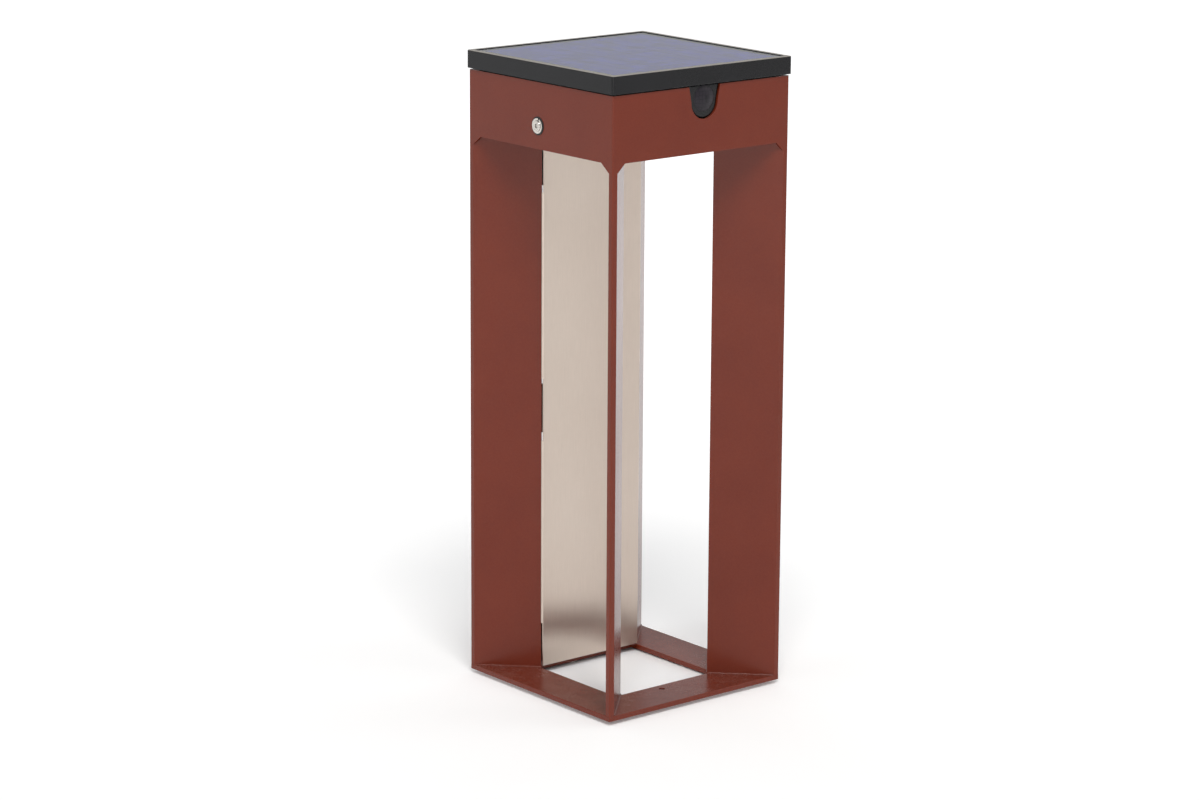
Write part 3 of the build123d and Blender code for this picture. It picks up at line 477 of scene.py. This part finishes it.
slotFinish = {
    "powder_coat": "powderCoat", "white_paint": "whitePaint", "stainless": "turnedSteel",
    "zinc_steel": "zincSteel", "black_steel": "blackSteel", "nickel": "nickel",
    "black_plastic": "trayPlastic", "lens_plastic": "lensPlastic", "opal_plastic": "opalLens",
    "button_plastic": "buttonPlastic", "nylon": "nylon", "glass": "coverGlass", "cells": "siliconCell",
    "backsheet": "backsheet", "foam": "foam", "rubber": "rubber", "circuit_board": "circuitBoard",
    "white_board": "whiteBoard", "led": "ledPhosphor", "component": "epoxy",
    "battery_wrap": "batteryWrap", "wire_red": "redInsulation", "wire_white": "whiteInsulation",
}
nodeFinish = {"steel_reflector": "steelSheet", "lid_frame": "lidPlastic", "sensor_bezel": "sensorPlastic",
              "lock_screw": "threadedSteel"}

for part in frame["record"]["subparts"]:
    look = finishes[nodeFinish.get(part["node"], slotFinish[part["material_slot"]])]
    for holder in nodes[part["node"]].material_slots:
        holder.material = look
print("frame dressed:", len(nodes))


# pieces

def newPiece(name, mesh, body, look):
    piece = bpy.data.objects.new(name, mesh)
    scene.collection.objects.link(piece)
    if look and not mesh.materials:
        mesh.materials.append(finishes[look])
    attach(piece, body)
    return piece


def linesMesh(name, paths):
    mesh = bpy.data.meshes.new(name)
    points, edges = [], []
    for path, closed in paths:
        first = len(points)
        points += path
        edges += [(first + i, first + i + 1) for i in range(len(path) - 1)]
        if closed:
            edges.append((len(points) - 1, first))
    mesh.from_pydata(points, edges, [])
    return mesh


def newTree(name, inputs):
    tree = bpy.data.node_groups.new(name, "GeometryNodeTree")
    tree.interface.new_socket("Geometry", in_out="INPUT", socket_type="NodeSocketGeometry")
    for title, kind, value in inputs:
        socket = tree.interface.new_socket(title, in_out="INPUT", socket_type="NodeSocket" + kind)
        if value is not None:
            socket.default_value = value
    tree.interface.new_socket("Geometry", in_out="OUTPUT", socket_type="NodeSocketGeometry")
    return tree, make(tree, "NodeGroupInput").outputs, make(tree, "NodeGroupOutput").inputs


def endTree(tree, geometry, look, result):
    real = make(tree, "GeometryNodeRealizeInstances", {0: geometry}).outputs[0]
    painted = make(tree, "GeometryNodeSetMaterial", {0: real, "Material": look}).outputs[0]
    tree.links.new(painted, result["Geometry"])


def grown(name, mesh, tree, values):
    seed = bpy.data.objects.new(name + "Seed", mesh)
    scene.collection.objects.link(seed)
    modifier = seed.modifiers.new("grow", "NODES")
    modifier.node_group = tree
    for item in tree.interface.items_tree:
        if item.in_out == "INPUT" and item.name in values:
            modifier[item.identifier] = values[item.name]
    graph = bpy.context.evaluated_depsgraph_get()
    result = bpy.data.meshes.new_from_object(seed.evaluated_get(graph), depsgraph=graph)
    seed.modifiers.remove(modifier)
    bpy.data.objects.remove(seed)
    result.name = name
    return result


# a bead that follows its path: welds, sealant, ribs

def beadTree():
    tree, given, result = newTree("beadAlongPath", [
        ("Radius", "Float", 0.0007), ("Step", "Float", 0.0006), ("Ripple", "Float", 0.1),
        ("Ripple Scale", "Float", 500.0), ("Sides", "Int", 10), ("Material", "Material", None)])
    path = make(tree, "GeometryNodeMeshToCurve", {0: given["Geometry"]}).outputs[0]
    spaced = make(tree, "GeometryNodeResampleCurve", {"Curve": path, "Length": given["Step"]}, mode="LENGTH")
    ring = make(tree, "GeometryNodeCurvePrimitiveCircle",
                {"Resolution": given["Sides"], "Radius": given["Radius"]}).outputs[0]
    tube = make(tree, "GeometryNodeCurveToMesh",
                {0: spaced.outputs[0], 1: ring, "Fill Caps": True}).outputs[0]
    noise = noiseAt(tree, make(tree, "GeometryNodeInputPosition").outputs[0], given["Ripple Scale"], 1.0)
    swell = maths(tree, "MULTIPLY", maths(tree, "SUBTRACT", noise, 0.5), given["Ripple"])
    normal = make(tree, "GeometryNodeInputNormal").outputs[0]
    far = maths(tree, "MULTIPLY", swell, given["Radius"])
    push = make(tree, "ShaderNodeVectorMath", {0: normal, "Scale": far}, operation="SCALE").outputs[0]
    moved = make(tree, "GeometryNodeSetPosition", {0: tube, "Offset": push}).outputs[0]
    smooth = make(tree, "GeometryNodeSetShadeSmooth", {0: moved}).outputs[0]
    endTree(tree, smooth, given["Material"], result)
    return tree


bead = beadTree()

weldSizes = {"radius": 0.75, "fromEdge": 3.4, "fin": 5.2, "step": 0.5, "ripple": 0.5,
             "rippleScale": 700.0}


def finWelds():
    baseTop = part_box("base_plate")[1].z
    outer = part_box("base_plate")[1].x * math.sqrt(2) - weldSizes["fromEdge"] * mm
    low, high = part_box("fin_back_right")
    halfFin = (low.x + low.y) / 2
    thick = weldSizes["fin"] * mm / 2
    inner = (halfFin + thick / math.sqrt(2)) * math.sqrt(2)
    paths = []
    for turn in (45, 135, 225, 315):
        along = Vector((math.cos(math.radians(turn)), math.sin(math.radians(turn)), 0))
        across = Vector((-along.y, along.x, 0))
        plan = [(outer, 1), (inner, 1), (inner, -1), (outer, -1)]
        rise = Vector((0, 0, baseTop))
        paths.append(([along * reach + across * side * thick + rise for reach, side in plan], False))
    mesh = linesMesh("finWelds", paths)
    look = {"Radius": weldSizes["radius"] * mm, "Step": weldSizes["step"] * mm,
            "Ripple": weldSizes["ripple"], "Ripple Scale": weldSizes["rippleScale"],
            "Material": finishes["powderCoat"]}
    newPiece("finWelds", grown("finWelds", mesh, bead, look), "frame", None)


finWelds()
print("welds run")


# laminated panel: one pane over the bonded cells, with printed metal on every cell

def roundedSquare(half, radius, z, steps=6):
    ring = []
    for corner in range(4):
        start = corner * math.pi / 2
        middle = Matrix.Rotation(start, 3, "Z") @ Vector((half - radius, half - radius, 0))
        for i in range(steps + 1):
            angle = start + i / steps * math.pi / 2
            ring.append(middle + Vector((math.cos(angle) * radius, math.sin(angle) * radius, z)))
    return ring


def stackedSlab(name, half, radius, levels):
    mesh = bpy.data.meshes.new(name)
    solid = bmesh.new()
    rings = []
    for z, inset in levels:
        ring = roundedSquare(half - inset, max(radius - inset, 0.05 * mm), z)
        rings.append([solid.verts.new(point) for point in ring])
    for low, high in zip(rings, rings[1:]):
        for i in range(len(low)):
            j = (i + 1) % len(low)
            solid.faces.new((low[i], low[j], high[j], high[i]))
    solid.faces.new(rings[0][::-1])
    solid.faces.new(rings[-1])
    solid.to_mesh(mesh)
    solid.free()
    return mesh


paneSizes = {"corner": 1.0, "edge": 0.35, "sink": 0.06, "foot": 0.05}


def coverPane():
    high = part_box("panel_glass")[1]
    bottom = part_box("solar_cells")[0].z - paneSizes["sink"] * mm
    edge = paneSizes["edge"] * mm
    foot = paneSizes["foot"] * mm
    levels = [(bottom, foot), (bottom + foot, 0.0), (high.z - edge, 0.0), (high.z, edge)]
    mesh = stackedSlab("coverPane", high.x, paneSizes["corner"] * mm, levels)
    pane = newPiece("coverPane", mesh, "solar_module", "coverGlass")
    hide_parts("panel_glass")


coverPane()


def stripTree():
    tree, given, result = newTree("stripPerPoint", [("Size", "Vector", (0.001, 0.001, 0.001)),
                                                    ("Material", "Material", None)])
    strip = make(tree, "GeometryNodeMeshCube", {"Size": given["Size"]}).outputs[0]
    laid = make(tree, "GeometryNodeInstanceOnPoints",
                {"Points": given["Geometry"], "Instance": strip}).outputs[0]
    endTree(tree, laid, given["Material"], result)
    return tree


strip = stripTree()


def strips(name, spots, size, look, body, slotName):
    mesh = linesMesh(name, [([spot], False) for spot in spots])
    values = {"Size": tuple(side * mm for side in size), "Material": finishes[look]}
    newPiece(name, grown(name, mesh, strip, values), body, None)


cellMetal = {"columns": 6, "rows": 2, "gap": 1.2, "fingerPitch": 2.05, "finger": 0.07, "busbar": 0.7,
             "busbars": 2, "height": 0.05, "sideMargin": 0.8, "endMargin": 0.6}


def cellPrint():
    low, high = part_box("solar_cells")
    look = cellMetal
    gap = look["gap"] * mm
    pitch = Vector(((high.x - low.x + gap) / look["columns"], (high.y - low.y + gap) / look["rows"], 0))
    z = high.z + look["height"] * mm * 0.3
    fingers, bars = [], []
    for column in range(look["columns"]):
        x = low.x + pitch.x * column + (pitch.x - gap) / 2
        for row in range(look["rows"]):
            y = low.y + pitch.y * row + (pitch.y - gap) / 2
            count = int((pitch.y - gap) / mm / look["fingerPitch"])
            for i in range(count):
                fingers.append(Vector((x, y + (i - (count - 1) / 2) * look["fingerPitch"] * mm, z)))
            for i in range(look["busbars"]):
                bars.append(Vector((x + (i - 0.5) * (pitch.x - gap) / 2, y, z)))
    wide = (pitch.x - gap) / mm - look["sideMargin"]
    long = (pitch.y - gap) / mm - look["endMargin"]
    dressing = ("busbarTin", "solar_module", "cells")
    strips("cellFingers", fingers, (wide, look["finger"], look["height"]), *dressing)
    strips("cellBusbars", bars, (look["busbar"], long, look["height"] * 1.4), *dressing)


cellPrint()


sealSizes = {"out": 0.12, "corner": 1.1, "down": 0.30, "radius": 0.26, "step": 1.0}


def paneSeal():
    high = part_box("panel_glass")[1]
    out, corner, down = (sealSizes[key] * mm for key in ("out", "corner", "down"))
    ring = roundedSquare(high.x + out, corner, high.z - down)
    mesh = linesMesh("paneSeal", [(ring, True)])
    values = {"Radius": sealSizes["radius"] * mm, "Step": sealSizes["step"] * mm, "Ripple": 0.3,
              "Ripple Scale": 300.0, "Sides": 8, "Material": finishes["silicone"]}
    newPiece("paneSeal", grown("paneSeal", mesh, bead, values), "solar_module", None)


paneSeal()
print("panel laid")


# small parts of the boards: domes on the LEDs, legs of the chip, solder under the connectors

def domeTree():
    tree, given, result = newTree("domePerPoint", [("Radius", "Float", 0.001), ("Flatten", "Float", 0.6),
                                                   ("Material", "Material", None)])
    ball = make(tree, "GeometryNodeMeshUVSphere",
                {"Segments": 24, "Rings": 12, "Radius": given["Radius"]}).outputs[0]
    squat = make(tree, "ShaderNodeCombineXYZ", {"X": 1.0, "Y": 1.0, "Z": given["Flatten"]}).outputs[0]
    laid = make(tree, "GeometryNodeInstanceOnPoints", {"Points": given["Geometry"], "Instance": ball,
                                                       "Scale": squat}).outputs[0]
    smooth = make(tree, "GeometryNodeSetShadeSmooth", {0: laid}).outputs[0]
    endTree(tree, smooth, given["Material"], result)
    return tree


dome = domeTree()


def domes(name, spots, radius, flatten, look):
    mesh = linesMesh(name, [([spot], False) for spot in spots])
    values = {"Radius": radius * mm, "Flatten": flatten, "Material": finishes[look]}
    newPiece(name, grown(name, mesh, dome, values), "solar_module", None)


ledLook = {"rings": ((10.0, 4), (25.0, 8)), "radius": 1.15, "flatten": 0.45}


def ledDomes():
    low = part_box("leds")[0]
    spots = []
    for radius, count in ledLook["rings"]:
        for i in range(count):
            angle = 2 * math.pi * i / count
            spots.append(Vector((math.cos(angle) * radius * mm, math.sin(angle) * radius * mm, low.z)))
    domes("ledDomes", spots, ledLook["radius"], ledLook["flatten"], "ledPhosphor")


ledDomes()

boardLook = {"chip": (-20.0, -26.0, 9.0), "legs": 8, "pitch": 1.0, "leg": (0.35, 1.1, 0.18),
             "connectors": ((40.0, -12.0), (20.0, -12.0), (0.0, -12.0), (1.5, -47.0)),
             "solder": 0.75, "solderFlatten": 0.7, "pinReach": 1.1}


def boardDetails():
    low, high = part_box("main_board")
    x, y, side = boardLook["chip"]
    leg = boardLook["leg"]
    reach = side / 2 + leg[1] / 2
    places = [(i - (boardLook["legs"] - 1) / 2) * boardLook["pitch"] for i in range(boardLook["legs"])]
    z = high.z + leg[2] * mm * 0.6
    front = [Vector(((x + p) * mm, (y + s * reach) * mm, z)) for p in places for s in (-1, 1)]
    sides = [Vector(((x + s * reach) * mm, (y + p) * mm, z)) for p in places for s in (-1, 1)]
    strips("chipLegsFront", front, leg, "nickel", "solar_module", "nickel")
    strips("chipLegsSide", sides, (leg[1], leg[0], leg[2]), "nickel", "solar_module", "nickel")
    pins = (-boardLook["pinReach"], boardLook["pinReach"])
    joints = [Vector(((px + pin) * mm, py * mm, low.z))
              for px, py in boardLook["connectors"] for pin in pins]
    domes("solderJoints", joints, boardLook["solder"], boardLook["solderFlatten"], "nickel")


boardDetails()
print("boards fitted")


# stage, light and camera

floorSizes = {"reach": 14.0, "drop": 0.2}


def buildFloor():
    mesh = bpy.data.meshes.new("floor")
    reach = floorSizes["reach"]
    low = cadBox[0].z - floorSizes["drop"] * mm
    corners = [(-reach, -reach, low), (reach, -reach, low), (reach, reach, low), (-reach, reach, low)]
    mesh.from_pydata(corners, [], [(0, 1, 2, 3)])
    floor = bpy.data.objects.new("floor", mesh)
    scene.collection.objects.link(floor)
    mesh.materials.append(paleFloor())


def paleFloor():
    material, tree, shader = bareMaterial("paleFloor")
    shade = mottled(tree, (0.90, 0.90, 0.90), (0.88, 0.88, 0.88), 2.0)
    # it glows more towards the back, like a lit sweep
    behind = vectorMaths(tree, "DOT_PRODUCT", objectSpot(tree), roomLook["towards"])
    glow = spread(tree, behind, -0.2, 1.4, *roomLook["glow"])
    wire(tree, shader, {"Base Color": shade, "Roughness": 0.8, "Emission Color": (1, 1, 1, 1),
                        "Emission Strength": glow})
    # seen from below it lets the view through
    below = make(tree, "ShaderNodeNewGeometry").outputs["Backfacing"]
    clear = make(tree, "ShaderNodeBsdfTransparent").outputs[0]
    both = make(tree, "ShaderNodeMixShader", {0: below, 1: shader.outputs[0], 2: clear})
    wire(tree, tree.nodes["Material Output"], {"Surface": both.outputs[0]})
    return material


lamps = {
    "key": {"place": (-1.1, -1.7, 3.0), "size": (1.3, 1.3), "power": 70.0, "colour": (1.0, 0.985, 0.965)},
    "fill": {"place": (-2.6, 0.2, 1.6), "size": (1.4, 1.4), "power": 10.0, "colour": (0.98, 0.985, 1.0)},
    "front": {"place": (-1.9, -2.1, 0.55), "size": (1.3, 0.7), "power": 9.0, "colour": (1.0, 0.99, 0.98)},
    "side": {"place": (2.2, -1.8, 1.8), "size": (1.4, 1.4), "power": 8.0, "colour": (1.0, 0.99, 0.975)},
}
roomLook = {"front": 0.42, "back": 0.57, "towards": (0.63, 0.77, 0.0), "glow": (0.12, 0.60),
            "aim": (0, 0, 0.22)}


def buildLights():
    middle = Vector(roomLook["aim"])
    for name, lamp in lamps.items():
        light = bpy.data.lights.new(name, "AREA")
        light.shape = "RECTANGLE"
        light.size, light.size_y = lamp["size"]
        light.energy = lamp["power"]
        light.color = lamp["colour"]
        holder = bpy.data.objects.new(name, light)
        holder.location = lamp["place"]
        holder.rotation_euler = (middle - holder.location).to_track_quat("-Z", "Y").to_euler()
        scene.collection.objects.link(holder)
    world = bpy.data.worlds.new("softRoom")
    world.use_nodes = True
    tree = world.node_tree
    direction = make(tree, "ShaderNodeTexCoord").outputs["Generated"]
    depth = vectorMaths(tree, "DOT_PRODUCT", direction, roomLook["towards"])
    glow = spread(tree, depth, -0.2, 0.6, roomLook["front"], roomLook["back"])
    wire(tree, tree.nodes["Background"], {"Color": (0.98, 0.99, 1.0, 1), "Strength": glow})
    scene.world = world


cameraSetup = {
    "place": (-1.4684, -1.7600, 0.7380),
    "forward": (0.6166, 0.7514, -0.2350),
    "right": (0.7739, -0.6333, 0.0053),
    "lens": 110.3,
    "shift": (0.0025, 0.0027),
}


def buildCamera():
    data = bpy.data.cameras.new("camera")
    data.lens = cameraSetup["lens"]
    data.sensor_width = 36.0
    data.shift_x, data.shift_y = cameraSetup["shift"]
    back = -Vector(cameraSetup["forward"]).normalized()
    right = Vector(cameraSetup["right"])
    right = (right - back * right.dot(back)).normalized()
    up = back.cross(right)
    camera = bpy.data.objects.new("camera", data)
    turn = Matrix((right, up, back)).transposed().to_4x4()
    camera.matrix_world = Matrix.Translation(cameraSetup["place"]) @ turn
    scene.collection.objects.link(camera)
    scene.camera = camera


buildFloor()
buildLights()
buildCamera()
print("stage set")
